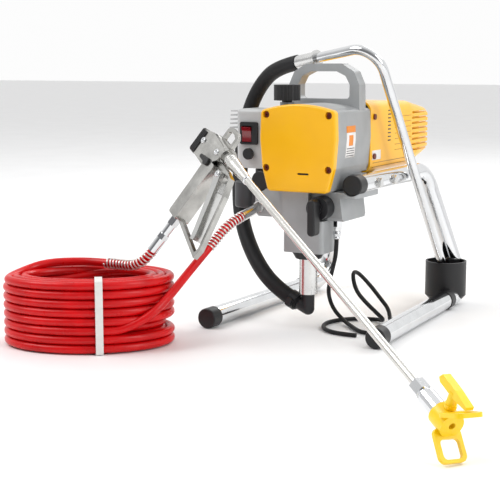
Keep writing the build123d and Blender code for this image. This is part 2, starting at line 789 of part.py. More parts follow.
with BuildPart() as cup_space:
    cup_body(CUP_WALL, CUP_Z[1] + 1)
    cut_frame_from_cup(TUBE_R + 0.5 + CUP_WALL)

with BuildPart() as drip_cup:
    cup_body(0, CUP_Z[1])
    cut_frame_from_cup(TUBE_R)
    add(cup_space.part, mode=Mode.SUBTRACT)
save(drip_cup, "drip_cup")

CUFF_END = Vector(*TUBE_HEAD) + TUBE_LEVEL * 5
SUCTION_ROUTE = [
    HOSE_START,
    HOSE_START + ELBOW_DIRECTION * 46,
    Vector(-105, -80, 104),
    Vector(-143, -54, 160),
    Vector(-161, -28, 220),
    Vector(-171, 2, 278),
    Vector(-172, 24, 333),
    Vector(-151, 27, 377),
    CUFF_END + TUBE_LEVEL * 48,
    CUFF_END,
]
cord(SUCTION_ROUTE, SUCTION_HOSE_R, "suction_hose")

with BuildPart() as hose_clamp:
    with BuildSketch(along(HOSE_START + ELBOW_DIRECTION * 3, ELBOW_DIRECTION)):
        Circle(SUCTION_HOSE_R + 2)
        Circle(SUCTION_HOSE_R, mode=Mode.SUBTRACT)
    extrude(amount=13)
    with BuildSketch(along(HOSE_START + ELBOW_DIRECTION * 5, ELBOW_DIRECTION)):
        with Locations((0, SUCTION_HOSE_R + 4)):
            Rectangle(12, 7)
    extrude(amount=9)
    with BuildSketch(along(HOSE_START + ELBOW_DIRECTION * 2, ELBOW_DIRECTION)):
        Circle(SUCTION_HOSE_R)
    extrude(amount=16, mode=Mode.SUBTRACT)
save(hose_clamp, "hose_clamp")

RETURN_ROUTE = [
    BARB,
    (50, -100, 130),
    (38, -84, 104),
    (22, -62, 78),
    (10, -44, 50),
    (12, -28, 22),
    (34, -32, 5),
    (60, -58, RETURN_HOSE_R),
    (84, -84, RETURN_HOSE_R),
    (107, -84, RETURN_HOSE_R),
    (121, -66, RETURN_HOSE_R),
    (117, -42, 5),
    (106, -16, 10),
    (94, 6, 24),
    (80, 8, 38),
    (62, 2, 62),
    (46, -12, 84),
    (50, -40, 86),
    (62, -54, 62),
    (78, -48, 42),
    (92, -28, 20),
    (90, -2, 6),
    (70, 14, RETURN_HOSE_R),
    (44, 6, RETURN_HOSE_R),
    (22, -12, RETURN_HOSE_R),
    (10, -40, RETURN_HOSE_R),
    (14, -72, RETURN_HOSE_R),
    (32, -98, RETURN_HOSE_R),
    (60, -110, RETURN_HOSE_R),
    (88, -108, RETURN_HOSE_R),
]
cord(RETURN_ROUTE, RETURN_HOSE_R, "return_hose")


# ========================================================================== gun
GUN_AXIS = (POLE_END - GUN_HEAD).normalized()
GUN_DOWN = (GRIP_DOWN - GUN_AXIS * GRIP_DOWN.dot(GUN_AXIS)).normalized()
GUN_SIDE = GUN_AXIS.cross(-GUN_DOWN)
POLE_LENGTH = (POLE_END - GUN_HEAD).length


def gun_side(offset):
    """Plane of the gun's side view: x runs to the tip, y up from the handle."""
    return Plane(origin=GUN_HEAD + GUN_SIDE * offset, x_dir=GUN_AXIS, z_dir=GUN_SIDE)


def gun_point(x, y, z=0.0):
    """Point given along the gun, up from the handle and to its side."""
    return GUN_HEAD + GUN_AXIS * x - GUN_DOWN * y + GUN_SIDE * z


def gun_round(x_from, x_to, radius, y=0.0, mode=Mode.ADD):
    """Round piece along the gun's length."""
    with BuildSketch(along(gun_point(x_from, y), GUN_AXIS)) as outline:
        Circle(radius)
    extrude(outline.sketch, amount=x_to - x_from, mode=mode)


def gun_plate(points, width, corner=0.0, mode=Mode.ADD):
    """Flat piece of the side view, as thick as width, centred on the gun."""
    with BuildSketch(gun_side(-width / 2)) as outline:
        with BuildLine():
            Polyline(*points, close=True)
        make_face()
        if corner:
            fillet(outline.vertices(), corner)
    extrude(outline.sketch, amount=width, mode=mode)


TRIGGER_PIVOT = (46.0, -24.0)
LOCK_PIVOT = (6.0, -25.0)
PIVOT_R = 2.0


def gun_pin(at, radius, side_from, side_to, mode=Mode.ADD):
    """Round piece across the gun at a point of its side view."""
    with BuildSketch(gun_side(side_from)) as outline:
        with Locations(at):
            Circle(radius)
    extrude(outline.sketch, amount=side_to - side_from, mode=mode)


with BuildPart() as gun_body:
    gun_round(-24, 27, 13)
    gun_plate([(-52, 4), (-50, -32), (0, -34), (24, -12), (24, 8), (-24, 12)], 24, 3)
    gun_plate([(-2, -20), (28, -20), (26, -60), (27, -118), (1, -118), (0, -60)], 25, 4)
    gun_round(27, 33, 10)
    gun_plate([(20, -14), (30, -11), (50, -13), (54, -22), (52, -30), (44, -32), (20, -24)], 8)
    gun_plate([(-14, 8), (-14, 30), (-4, 36), (12, 36), (22, 30), (22, 8)], 6, 3)
    gun_plate([(-8, 15), (-8, 27), (0, 30), (8, 30), (16, 27), (16, 15)], 8, 2, mode=Mode.SUBTRACT)
    strap_outer = [(48, -12), (68, -16), (82, -40), (112, -118), (110, -133), (24, -118)]
    strap_inner = [(24, -112), (104, -127), (106, -118), (77, -42), (65, -21), (48, -17)]
    gun_plate(strap_outer + strap_inner, 8)
    gun_pin(TRIGGER_PIVOT, PIVOT_R, -12.5, 12.5)
    gun_pin(LOCK_PIVOT, PIVOT_R + RUNNING, 4, 20, mode=Mode.SUBTRACT)
save(gun_body, "gun_body")

with BuildPart() as gun_trigger:
    blade_front = [(40, -19), (50, -18), (60, -36), (92, -104), (94, -114)]
    blade_back = [(86, -116), (80, -102), (54, -50), (41, -30)]
    gun_plate(blade_front + blade_back, 24, 1.5)
    gun_plate([(30, -46), (64, -46), (64, -8), (30, -8)], 9, mode=Mode.SUBTRACT)
    gun_pin(TRIGGER_PIVOT, PIVOT_R + RUNNING, -20, 20, mode=Mode.SUBTRACT)
save(gun_trigger, "gun_trigger")

with BuildPart() as trigger_lock:
    gun_pin(LOCK_PIVOT, 6, 12.9, 15.9)
    with BuildSketch(gun_side(12.9)):
        with Locations((LOCK_PIVOT[0] - 9, LOCK_PIVOT[1])):
            SlotOverall(22, 6)
    extrude(amount=3)
    gun_pin(LOCK_PIVOT, PIVOT_R, 5, 14)
save(trigger_lock, "trigger_lock")

INLET_X = 12.0

with BuildPart() as gun_inlet:
    for y_from, y_to, radius in ((-118, -132, 9), (-150, -158, 9)):
        with BuildSketch(along(gun_point(INLET_X, y_from), GUN_DOWN)):
            RegularPolygon(radius, 6)
        extrude(amount=y_from - y_to)
    with BuildSketch(along(gun_point(INLET_X, -132), GUN_DOWN)):
        Circle(7)
    extrude(amount=18)
save(gun_inlet, "gun_inlet")

with BuildPart() as pole:
    with BuildSketch(gun_side(0)):
        with BuildLine():
            grip = [(33, 2.5), (33, 9.5), (50, 9.5), (95, 6.2), (98, POLE_R)]
            Polyline(*grip, (POLE_LENGTH, POLE_R), (POLE_LENGTH, 2.5), close=True)
        make_face()
    revolve(axis=Axis(GUN_HEAD, GUN_AXIS))
save(pole, "pole")

NUT_START = POLE_LENGTH - 8
GUARD_START = POLE_LENGTH + 42
KEY_X = GUARD_START + 11

with BuildPart() as tip_nut:
    with BuildSketch(along(gun_point(NUT_START, 0), GUN_AXIS)):
        RegularPolygon(10.5, 6)
    extrude(amount=16)
    gun_round(NUT_START + 16, NUT_START + 22, 8)
    gun_round(NUT_START + 22, GUARD_START, 11)
    gun_round(NUT_START, POLE_LENGTH, POLE_R, mode=Mode.SUBTRACT)
    gun_round(POLE_LENGTH - 1, GUARD_START, 2.5, mode=Mode.SUBTRACT)
save(tip_nut, "tip_nut")

ROLL = math.radians(GUARD_ROLL)
GUARD_UP = -GUN_DOWN * math.cos(ROLL) + GUN_SIDE * math.sin(ROLL)
GUARD_ACROSS = GUN_AXIS.cross(GUARD_UP)
WING_ANGLE = math.radians(35)
WING_LENGTH = 39.0
WING_WIDTH = 34.0


def guard_point(x, y):
    """Point given along the gun and up the tip guard."""
    return GUN_HEAD + GUN_AXIS * x + GUARD_UP * y


with BuildPart() as tip_guard:
    gun_round(GUARD_START, GUARD_START + 24, 14.5)
    for side in (-1, 1):
        out = GUN_AXIS * math.cos(WING_ANGLE) + GUARD_UP * side * math.sin(WING_ANGLE)
        root = guard_point(GUARD_START + 14, side * 9)
        wing_plane = Plane(origin=root, x_dir=out, z_dir=out.cross(GUARD_ACROSS))
        with BuildSketch(wing_plane):
            with Locations((WING_LENGTH / 2, 0)):
                RectangleRounded(WING_LENGTH, WING_WIDTH, 8)
            with Locations((WING_LENGTH / 2 + 4.5, 0)):
                RectangleRounded(WING_LENGTH - 17, WING_WIDTH - 10, 5, mode=Mode.SUBTRACT)
        extrude(amount=2.5, both=True)
    gun_round(GUARD_START - 1, GUARD_START + 60, 4, mode=Mode.SUBTRACT)
    with BuildSketch(along(guard_point(KEY_X, -10), GUARD_UP)):
        Circle(5 + RUNNING)
    extrude(amount=40, mode=Mode.SUBTRACT)
save(tip_guard, "tip_guard")

with BuildPart() as tip_handle:
    with BuildSketch(along(guard_point(KEY_X, -10 + RUNNING), GUARD_UP)):
        Circle(5)
    extrude(amount=42)
    with BuildSketch(along(guard_point(KEY_X, 15.5), GUARD_UP)):
        Circle(7)
    extrude(amount=4)
    with BuildSketch(along(guard_point(KEY_X, 15.5), GUARD_UP)):
        Circle(6)
    extrude(amount=19)
    bar_plane = Plane(origin=guard_point(KEY_X, 0), x_dir=GUN_AXIS, z_dir=GUARD_ACROSS)
    with BuildSketch(bar_plane.offset(-5)):
        with BuildLine():
            Polyline((-22, 32), (-26, 36), (-22, 42), (4, 40), (28, 36), (28, 32), (6, 30), close=True)
        make_face()
    extrude(amount=10)
    gun_round(GUARD_START - 1, GUARD_START + 40, 1.2, mode=Mode.SUBTRACT)
save(tip_handle, "tip_handle")


# =============================================================== high-pressure hose
FERRULE_LENGTH = 26.0
GUN_FERRULE_LENGTH = 24.0
LEAD_A = FERRULE_A + OUTLET_DIRECTION * FERRULE_LENGTH
LEAD_A_ROUTE = [
    LEAD_A,
    LEAD_A + OUTLET_DIRECTION * 30,
    Vector(-106, -203, 146),
    Vector(-118, -254, 108),
    Vector(-122, -309, 75),
    Vector(-134, -341, 52),
    Vector(-160, -362, 36),
]
LEAD_B = gun_point(INLET_X, -158 - GUN_FERRULE_LENGTH)
LEAD_B_ROUTE = [
    LEAD_B,
    LEAD_B + GUN_DOWN * 31,
    Vector(-238, -278, 113),
    Vector(-291, -285, 113.5),
    Vector(-333, -321, 113),
    Vector(-353, -368, 100),
]

cord(LEAD_A_ROUTE, HOSE_R, "hose_lead_pump")
cord(LEAD_B_ROUTE, HOSE_R, "hose_lead_gun")

with BuildPart() as hose_ferrules:
    with BuildSketch(along(FERRULE_A, OUTLET_DIRECTION)):
        Circle(FERRULE_R)
    extrude(amount=FERRULE_LENGTH)
    with BuildSketch(along(gun_point(INLET_X, -158), GUN_DOWN)):
        Circle(FERRULE_R)
    extrude(amount=GUN_FERRULE_LENGTH)
save(hose_ferrules, "hose_ferrules")

with BuildPart() as hose_springs:
    for route_points, corners, share in ((LEAD_A_ROUTE, 2, 0.3), (LEAD_B_ROUTE, 1, 0.5)):
        last, beyond = route_points[corners:corners + 2]
        spring_points = [*route_points[:corners + 1], last + (beyond - last) * share]
        with BuildLine() as route:
            FilletPolyline(*spring_points, radius=cord_radii(route_points)[:corners])
        with BuildSketch(along(route_points[0], route_points[1] - route_points[0])):
            Circle(SPRING_R)
            Circle(HOSE_R, mode=Mode.SUBTRACT)
        sweep(path=route.wires()[0])
save(hose_springs, "hose_springs")

with BuildPart() as hose_coil:
    with BuildSketch(Plane.XY.offset(COIL_Z[0])):
        with Locations(COIL_CENTRE):
            Ellipse(COIL_A, COIL_B, rotation=COIL_TURN)
            Ellipse(COIL_A - COIL_BAND, COIL_B - COIL_BAND, rotation=COIL_TURN, mode=Mode.SUBTRACT)
    extrude(amount=COIL_Z[1] - COIL_Z[0])
save(hose_coil, "hose_coil")

with BuildPart() as coil_tie:
    tie_turn = math.radians(TIE_ANGLE)
    mid_a = COIL_A - COIL_BAND / 2
    mid_b = COIL_B - COIL_BAND / 2
    spot = Vector(mid_a * math.cos(tie_turn), mid_b * math.sin(tie_turn), 0)
    inward = Vector(-mid_b * math.cos(tie_turn), -mid_a * math.sin(tie_turn), 0).normalized()
    inward = inward.rotate(Axis.Z, COIL_TURN)
    sideways = inward.rotate(Axis.Z, -90)
    tie_origin = Vector(*COIL_CENTRE, 0) + spot.rotate(Axis.Z, COIL_TURN)
    tie_plane = Plane(origin=tie_origin, x_dir=inward, z_dir=sideways)
    with BuildSketch(tie_plane.offset(-5)):
        with Locations((0, COIL_Z[1] / 2 + 0.5)):
            RectangleRounded(COIL_BAND + 2.4, COIL_Z[1] + 1, 1.5)
        with Locations((0, COIL_Z[1] / 2 + 0.5)):
            Rectangle(COIL_BAND + 0.4, COIL_Z[1] - 1, mode=Mode.SUBTRACT)
    extrude(amount=10)
save(coil_tie, "coil_tie")
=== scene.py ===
"""Looks of an airless paint sprayer with its suction set, hose coil and pole gun. Metres."""
import math

import bmesh
import bpy
from mathutils import Matrix, Vector


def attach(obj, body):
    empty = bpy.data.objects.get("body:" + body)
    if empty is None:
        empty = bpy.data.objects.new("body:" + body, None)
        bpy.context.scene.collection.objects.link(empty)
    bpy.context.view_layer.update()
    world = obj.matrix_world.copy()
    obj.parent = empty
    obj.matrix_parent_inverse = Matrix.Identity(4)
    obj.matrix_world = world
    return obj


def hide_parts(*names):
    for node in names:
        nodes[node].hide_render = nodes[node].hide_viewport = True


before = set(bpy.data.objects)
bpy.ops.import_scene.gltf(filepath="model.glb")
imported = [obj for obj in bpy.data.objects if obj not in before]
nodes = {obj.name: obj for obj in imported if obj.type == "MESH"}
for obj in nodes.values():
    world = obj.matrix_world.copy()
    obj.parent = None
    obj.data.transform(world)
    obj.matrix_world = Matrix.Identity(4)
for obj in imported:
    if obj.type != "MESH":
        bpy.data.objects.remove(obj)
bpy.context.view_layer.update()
scene = bpy.context.scene
MM = 0.001


# ------------------------------------------------------------------ camera
PHOTO_TURN = 28.9  # degrees that the photograph looks round the object from straight ahead
PHOTO_DROP = 8.9  # degrees that it looks down
CAMERA_PLACE = (0.8087, -1.7476, 0.4141)
LENS = 86.39


def add_camera():
    """Camera at the photograph's angle."""
    data = bpy.data.cameras.new("camera")
    data.lens = LENS
    data.sensor_width = 36
    data.clip_start = 0.05
    data.clip_end = 50
    camera = bpy.data.objects.new("camera", data)
    camera.location = CAMERA_PLACE
    camera.rotation_euler = (math.radians(90 - PHOTO_DROP), 0, math.radians(PHOTO_TURN))
    scene.collection.objects.link(camera)
    scene.camera = camera


add_camera()


# -------------------------------------------------------------- materials
class Shader:
    """A procedural material: a principled shader and helpers that feed it."""

    def __init__(self, name, rough=0.5, metal=0.0, coat=0.0):
        self.material = bpy.data.materials.new(name)
        self.material.use_nodes = True
        self.tree = self.material.node_tree
        self.bsdf = self.tree.nodes["Principled BSDF"]
        self.set("Roughness", rough)
        self.set("Metallic", metal)
        self.set("Coat Weight", coat)
        self.place = self.tree.nodes.new("ShaderNodeTexCoord").outputs["Object"]

    def set(self, socket, value):
        self.bsdf.inputs[socket].default_value = value

    def link(self, source, target):
        self.tree.links.new(source, target)

    def noise(self, scale, detail=4.0, stretch=(1, 1, 1)):
        mapping = self.tree.nodes.new("ShaderNodeMapping")
        mapping.inputs["Scale"].default_value = stretch
        self.link(self.place, mapping.inputs["Vector"])
        node = self.tree.nodes.new("ShaderNodeTexNoise")
        node.inputs["Scale"].default_value = scale
        node.inputs["Detail"].default_value = detail
        self.link(mapping.outputs["Vector"], node.inputs["Vector"])
        return node.outputs["Fac"]

    def ramp(self, source, low, high, start=0.3, end=0.7):
        node = self.tree.nodes.new("ShaderNodeValToRGB")
        node.color_ramp.elements[0].position = start
        node.color_ramp.elements[1].position = end
        node.color_ramp.elements[0].color = (*low, 1)
        node.color_ramp.elements[1].color = (*high, 1)
        self.link(source, node.inputs["Fac"])
        return node.outputs["Color"]

    def spread(self, source, low, high):
        node = self.tree.nodes.new("ShaderNodeMapRange")
        node.inputs["To Min"].default_value = low
        node.inputs["To Max"].default_value = high
        self.link(source, node.inputs["Value"])
        return node.outputs["Result"]

    def bump(self, source, strength, distance):
        node = self.tree.nodes.new("ShaderNodeBump")
        node.inputs["Strength"].default_value = strength
        node.inputs["Distance"].default_value = distance
        self.link(source, node.inputs["Height"])
        self.link(node.outputs["Normal"], self.bsdf.inputs["Normal"])

    def colour(self, source):
        self.link(source, self.bsdf.inputs["Base Color"])

    def roughness(self, source):
        self.link(source, self.bsdf.inputs["Roughness"])


def shade(colour, factor):
    return tuple(min(1.0, channel * factor) for channel in colour)


def plastic(name, colour, rough=0.4, grain=900, depth=0.00012, coat=0.0, change=0.08):
    """Moulded plastic: faint colour change, fine grain, uneven gloss."""
    s = Shader(name, rough, coat=coat)
    s.colour(s.ramp(s.noise(14), shade(colour, 1 - change), shade(colour, 1 + change)))
    s.roughness(s.spread(s.noise(45), rough - 0.06, rough + 0.08))
    s.bump(s.noise(grain, 2), 0.35, depth)
    return s.material


def painted_casting(name, colour, rough=0.42):
    """Powder coat over a casting: orange peel, small pits and duller patches."""
    s = Shader(name, rough, metal=0.25)
    s.colour(s.ramp(s.noise(22, 6), shade(colour, 0.9), shade(colour, 1.08)))
    s.roughness(s.spread(s.noise(70), rough - 0.08, rough + 0.12))
    s.bump(s.noise(520, 5), 0.5, 0.00025)
    return s.material


def metal(name, colour, rough=0.16, grain=260, stretch=(1, 1, 1), depth=0.00004, change=0.06):
    """Plated or turned metal with fine marks."""
    s = Shader(name, rough, metal=1.0)
    s.colour(s.ramp(s.noise(30, 5), shade(colour, 1 - change), shade(colour, 1 + change)))
    s.roughness(s.spread(s.noise(90, 5, stretch), max(0.03, rough - 0.05), rough + 0.08))
    s.bump(s.noise(grain, 3, stretch), 0.25, depth)
    return s.material


def rubber(name, colour, rough=0.5, grain=1400, coat=0.0):
    """Hose rubber: dull with soft streaks and very fine grain."""
    s = Shader(name, rough, coat=coat)
    s.set("Specular IOR Level", 0.3)
    s.colour(s.ramp(s.noise(28, 5), shade(colour, 0.82), shade(colour, 1.15)))
    s.roughness(s.spread(s.noise(60, 5), rough - 0.1, rough + 0.1))
    s.bump(s.noise(grain, 3), 0.3, 0.0001)
    return s.material


def woven_wire(name, colour):
    """Filter gauze: crossing wires as bands of colour and height."""
    s = Shader(name, 0.35, metal=0.9)
    wave = s.tree.nodes.new("ShaderNodeTexWave")
    wave.bands_direction = "Z"
    wave.inputs["Scale"].default_value = 260
    s.link(s.place, wave.inputs["Vector"])
    s.colour(s.ramp(wave.outputs["Fac"], shade(colour, 0.25), colour))
    s.bump(wave.outputs["Fac"], 0.6, 0.0004)
    return s.material


YELLOW = (1.0, 0.50, 0.001)
LEMON = (0.96, 0.64, 0.004)
GREY = (0.37, 0.38, 0.385)
BLACK = (0.008, 0.008, 0.009)
RED = (0.62, 0.002, 0.004)

chrome = metal("chrome", (0.74, 0.75, 0.76), 0.08, 300, depth=0.00002)
plated = metal("zinc_plate", (0.68, 0.68, 0.67), 0.24)
turned = metal("turned_steel", (0.60, 0.61, 0.62), 0.3, 500)
pole_metal = metal("pole_steel", (0.66, 0.65, 0.62), 0.24, 400)
satin = metal("satin_aluminium", (0.58, 0.58, 0.57), 0.2, 500)
grey_paint = painted_casting("grey_casting", GREY)
dark_paint = painted_casting("dark_casting", (0.06, 0.062, 0.066))
black_metal = painted_casting("black_oxide", (0.018, 0.018, 0.02), 0.38)
# The gun's colour swings 30% either way over a coarse noise: partly random tone, and partly dark and light
# patches painted in as reflections on the polished head.
gun_paint = metal("gun_casting", (0.46, 0.455, 0.435), 0.19, 420, depth=0.00008, change=0.3)
yellow = plastic("yellow_plastic", YELLOW, 0.32, 700, coat=0.12, change=0.04)
yellow_guard = plastic("yellow_guard_plastic", LEMON, 0.34, 800, coat=0.1)
black_plastic = plastic("black_plastic", BLACK, 0.42)
light_plastic = plastic("light_grey_plastic", (0.52, 0.53, 0.53), 0.34)
white_plastic = plastic("white_plastic", (0.80, 0.79, 0.76), 0.45)
red_plastic = plastic("red_rocker_plastic", (0.20, 0.004, 0.01), 0.12, coat=0.6)
board = plastic("circuit_board", (0.02, 0.12, 0.05), 0.35)
copper = metal("enamelled_copper", (0.60, 0.24, 0.10), 0.35, 900)
dark_screw = metal("dark_screws", (0.20, 0.06, 0.045), 0.4)
packing = plastic("packing_leather", (0.22, 0.13, 0.06), 0.7)
gauze = woven_wire("filter_gauze", (0.55, 0.55, 0.56))
black_rubber = rubber("black_rubber", (0.010, 0.010, 0.011), 0.55)
red_rubber = rubber("red_hose_jacket", RED, 0.3, 1100, coat=0.06)
spring_steel = metal("spring_wire", (0.80, 0.78, 0.76), 0.28)
label_paper = plastic("label_paper", (0.82, 0.80, 0.78), 0.4)
label_orange = plastic("label_orange", (0.80, 0.25, 0.02), 0.4)
seam_dark = plastic("seam_shadow", (0.32, 0.12, 0.004), 0.5)

LOOKS = {
    chrome: "side_frame_left side_frame_right suction_tube drain_barb piston_rod hose_ferrules "
    "tip_nut gun_inlet",
    plated: "frame_bolts pump_cylinder outlet_fitting suction_cuff",
    turned: "rotor intermediate_gear crank_gear piston_yoke foot_valve shaft_bearings motor_stator",
    satin: "motor_end_plate gun_trigger",
    pole_metal: "pole",
    grey_paint: "saddle_casting motor_cradle gear_housing pump_block",
    dark_paint: "filter_bowl",
    black_metal: "packing_nut suction_elbow prime_valve_body hose_clamp",
    gun_paint: "gun_body",
    yellow: "front_cover motor_shroud",
    yellow_guard: "tip_guard tip_handle",
    black_plastic: "tube_caps cooling_fan prime_valve_handle switch_bezel reset_button cord_gland "
    "pressure_knob drip_cup trigger_lock",
    light_plastic: "control_box",
    red_plastic: "switch_rocker",
    board: "circuit_board",
    copper: "stator_windings",
    dark_screw: "housing_screws",
    packing: "packing_rings",
    gauze: "filter_element inlet_strainer",
}


def dress(obj, material):
    """Give an object one material in every slot."""
    if not obj.data.materials:
        obj.data.materials.append(material)
    for slot in obj.material_slots:
        slot.link = "OBJECT"
        slot.material = material


def soften(obj, width=0.5):
    """Round the hard edges a little, as a casting or moulding has."""
    bevel = obj.modifiers.new("edges", "BEVEL")
    bevel.width = width * MM
    bevel.segments = 2
    bevel.limit_method = "ANGLE"
    bevel.angle_limit = math.radians(38)
    bevel.harden_normals = True


for material, names in LOOKS.items():
    for name in names.split():
        dress(nodes[name], material)

# width of each piece's rounded edges, in millimetres
SOFT_EDGES = {
    "saddle_casting": 1.6, "gear_housing": 1.2, "motor_cradle": 1.0, "pump_block": 1.5,
    "control_box": 0.8, "gun_body": 1.3, "gun_trigger": 0.8, "tip_guard": 0.8, "tip_handle": 1.2,
    "drip_cup": 0.8, "outlet_fitting": 0.6, "tip_nut": 0.6, "gun_inlet": 0.6, "filter_bowl": 0.6,
    "prime_valve_body": 0.8, "frame_bolts": 0.5, "housing_screws": 0.4, "packing_nut": 0.8,
    "switch_bezel": 0.6, "hose_clamp": 0.5,
}
for name, width in SOFT_EDGES.items():
    soften(nodes[name], width)


# ------------------------------------------------------------------ cords
def spline_curve(name, points, radius, material, resolution=6):
    """A smooth cord through its route's control points, given in millimetres."""
    curve = bpy.data.curves.new(name, "CURVE")
    curve.dimensions = "3D"
    spline = curve.splines.new("NURBS")
    spline.points.add(len(points) - 1)
    for target, point in zip(spline.points, points):
        target.co = (point[0] * MM, point[1] * MM, point[2] * MM, 1)
    spline.order_u = 3
    spline.use_endpoint_u = True
    curve.resolution_u = resolution
    curve.bevel_depth = radius * MM
    curve.bevel_resolution = 5
    curve.use_fill_caps = True
    obj = bpy.data.objects.new(name, curve)
    scene.collection.objects.link(obj)
    obj.data.materials.append(material)
    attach(obj, "base")
    return obj


def centre_line(obj):
    """Points along a cord's own smooth line, in metres."""
    bare = obj.copy()
    bare.data = obj.data.copy()
    bare.data.bevel_depth = 0
    scene.collection.objects.link(bare)
    depsgraph = bpy.context.evaluated_depsgraph_get()
    mesh = bpy.data.meshes.new_from_object(bare.evaluated_get(depsgraph))
    points = [vertex.co.copy() for vertex in mesh.vertices]
    bpy.data.meshes.remove(mesh)
    bpy.data.objects.remove(bare)
    return points


def length_of(points):
    return sum((b - a).length for a, b in zip(points, points[1:]))


GUN_HEAD = Vector((-74.1, -234.3, 287.9))
POLE_END = Vector((361.0, -554.1, 64.5))
GUN_AXIS = (POLE_END - GUN_HEAD).normalized()
GRIP_DOWN = Vector((-0.566, -0.204, -0.798))
GUN_DOWN = (GRIP_DOWN - GUN_AXIS * GRIP_DOWN.dot(GUN_AXIS)).normalized()
GUN_SIDE = GUN_AXIS.cross(-GUN_DOWN)


def gun_point(x, y, z=0.0):
    """Point along the gun, up from the handle and to its side, in millimetres."""
    return GUN_HEAD + GUN_AXIS * x - GUN_DOWN * y + GUN_SIDE * z


OUTLET = Vector((-76, -115, 192))
OUTLET_DIRECTION = Vector((-0.283, -0.906, -0.312)).normalized()
LEAD_A = OUTLET + OUTLET_DIRECTION * 40
LEAD_B = gun_point(12, -182)

COIL_CENTRE = Vector((-250.3, -325.2, 0))
COIL_TURN = math.radians(PHOTO_TURN)
COIL_A = 128.0
COIL_B = 88.0
HOSE_R = 6.3
COLUMN_PITCH = 13.0
LAYER_PITCH = 13.1
FIRST_COLUMN = 6.6  # from the coil's outside to the middle of its outer turn
FIRST_LAYER = 7.6  # from the floor to the middle of its lowest turn
POINTS_PER_TURN = 24
COIL_START, COIL_END = -62, -8460  # degrees along the winding
STEP_OVER = (232, 308)  # stretch of each turn, in degrees, where it steps to the next
# (column from outside, layer from the floor) of each turn, from the pump's end to the gun's end
WINDING = [
    (0, 2), (0, 1), (0, 0), (1, 0), (2, 0), (2, 1), (1, 1), (1, 2), (2, 2), (2, 3), (1, 3), (0, 3),
    (0, 4), (1, 4), (2, 4), (2, 5), (1, 5), (0, 5), (0, 6), (1, 6), (2, 6), (2, 7), (1, 7), (0, 7),
]


def coil_point(angle, column, layer):
    """Point on one turn of the coil; column and layer may lie between two whole ones."""
    inset = FIRST_COLUMN + COLUMN_PITCH * column
    x = (COIL_A - inset) * 1.004 * math.cos(angle)
    y = (COIL_B - inset) * 1.004 * math.sin(angle)
    across = x * math.cos(COIL_TURN) - y * math.sin(COIL_TURN)
    ahead = x * math.sin(COIL_TURN) + y * math.cos(COIL_TURN)
    return COIL_CENTRE + Vector((across, ahead, FIRST_LAYER + LAYER_PITCH * layer))


def coil_points(first, last, step_from, step_to):
    """Turns laid beside and on each other; each steps over to the next at the back."""
    points = []
    step = math.radians(360 / POINTS_PER_TURN)
    angle = math.radians(first)
    while angle > math.radians(last):
        degrees = -math.degrees(angle)
        turn = int((degrees - step_from) // 360) + 1
        turn = max(0, min(len(WINDING) - 1, turn))
        passed = (degrees - step_from) - 360 * (turn - 1)
        share = 1.0
        if turn and passed < step_to - step_from:
            share = passed / (step_to - step_from)
            share = share * share * (3 - 2 * share)
        before = WINDING[max(0, turn - 1)]
        here = WINDING[turn]
        column = before[0] + (here[0] - before[0]) * share
        layer = before[1] + (here[1] - before[1]) * share
        wander = 0.25 * math.sin(3.1 * angle + turn)
        points.append(coil_point(angle, column, layer) + Vector((wander, -wander, 0)))
        angle -= step
    return points


hose_route = [
    LEAD_A,
    LEAD_A + OUTLET_DIRECTION * 30,
    Vector((-106, -203, 146)),
    Vector((-118, -254, 108)),
    Vector((-122, -309, 75)),
    Vector((-134, -341, 52)),
]
hose_route += coil_points(COIL_START, COIL_END, *STEP_OVER)
hose_route += [
    Vector((-351, -352, 104)),
    Vector((-333, -321, 113)),
    Vector((-291, -285, 113.5)),
    Vector((-238, -278, 113)),
    LEAD_B + GUN_DOWN * 31,
    LEAD_B,
]
hose = spline_curve("high_pressure_hose", hose_route, HOSE_R, red_rubber, 4)
hose_line = centre_line(hose)
print("hose length", round(length_of(hose_line), 3))
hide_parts("hose_lead_pump", "hose_lead_gun", "hose_coil")

BARB = (50, -100, 158)
FLAT = 3.3  # height of the return hose's middle where it lies on the floor: its radius
return_route = [
    BARB, (50, -100, 130), (38, -84, 104), (22, -62, 78), (10, -44, 50), (12, -28, 22),
    (34, -32, 5), (60, -58, FLAT), (84, -84, FLAT), (107, -84, FLAT), (121, -66, FLAT),
    (117, -42, 5), (106, -16, 10), (94, 6, 24), (80, 8, 38), (62, 2, 62), (46, -12, 84),
    (50, -40, 86), (62, -54, 62), (78, -48, 42), (92, -28, 20), (90, -2, 6), (70, 14, FLAT),
    (44, 6, FLAT), (22, -12, FLAT), (10, -40, FLAT), (14, -72, FLAT), (32, -98, FLAT),
    (60, -110, FLAT), (88, -108, FLAT),
]
return_hose = spline_curve("return_hose_line", return_route, FLAT, black_rubber, 10)
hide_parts("return_hose")

ELBOW_DIRECTION = Vector((-math.cos(math.radians(25)), 0, math.sin(math.radians(25))))
HOSE_START = Vector((0, -95, 34)) + ELBOW_DIRECTION * 18
TUBE_KNEE = Vector((85.6, -44, 440))
TUBE_HEAD = Vector((-63.4, 0, 414.4))
TUBE_LEVEL = (TUBE_HEAD - TUBE_KNEE).normalized()
CUFF_END = TUBE_HEAD + TUBE_LEVEL * 5
suction_route = [
    HOSE_START, HOSE_START + ELBOW_DIRECTION * 46, (-105, -80, 104), (-143, -54, 160),
    (-161, -28, 220), (-171, 2, 278), (-172, 24, 333), (-151, 27, 377),
    CUFF_END + TUBE_LEVEL * 48, CUFF_END,
]
suction_hose = spline_curve("suction_hose_line", suction_route, 12.5, black_rubber, 14)
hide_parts("suction_hose")


# ------------------------------------------------- pieces made in mesh code
def mesh_object(name, bm, material, body="base"):
    mesh = bpy.data.meshes.new(name)
    bm.to_mesh(mesh)
    bm.free()
    for polygon in mesh.polygons:
        polygon.use_smooth = True
    obj = bpy.data.objects.new(name, mesh)
    scene.collection.objects.link(obj)
    mesh.materials.append(material)
    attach(obj, body)
    return obj


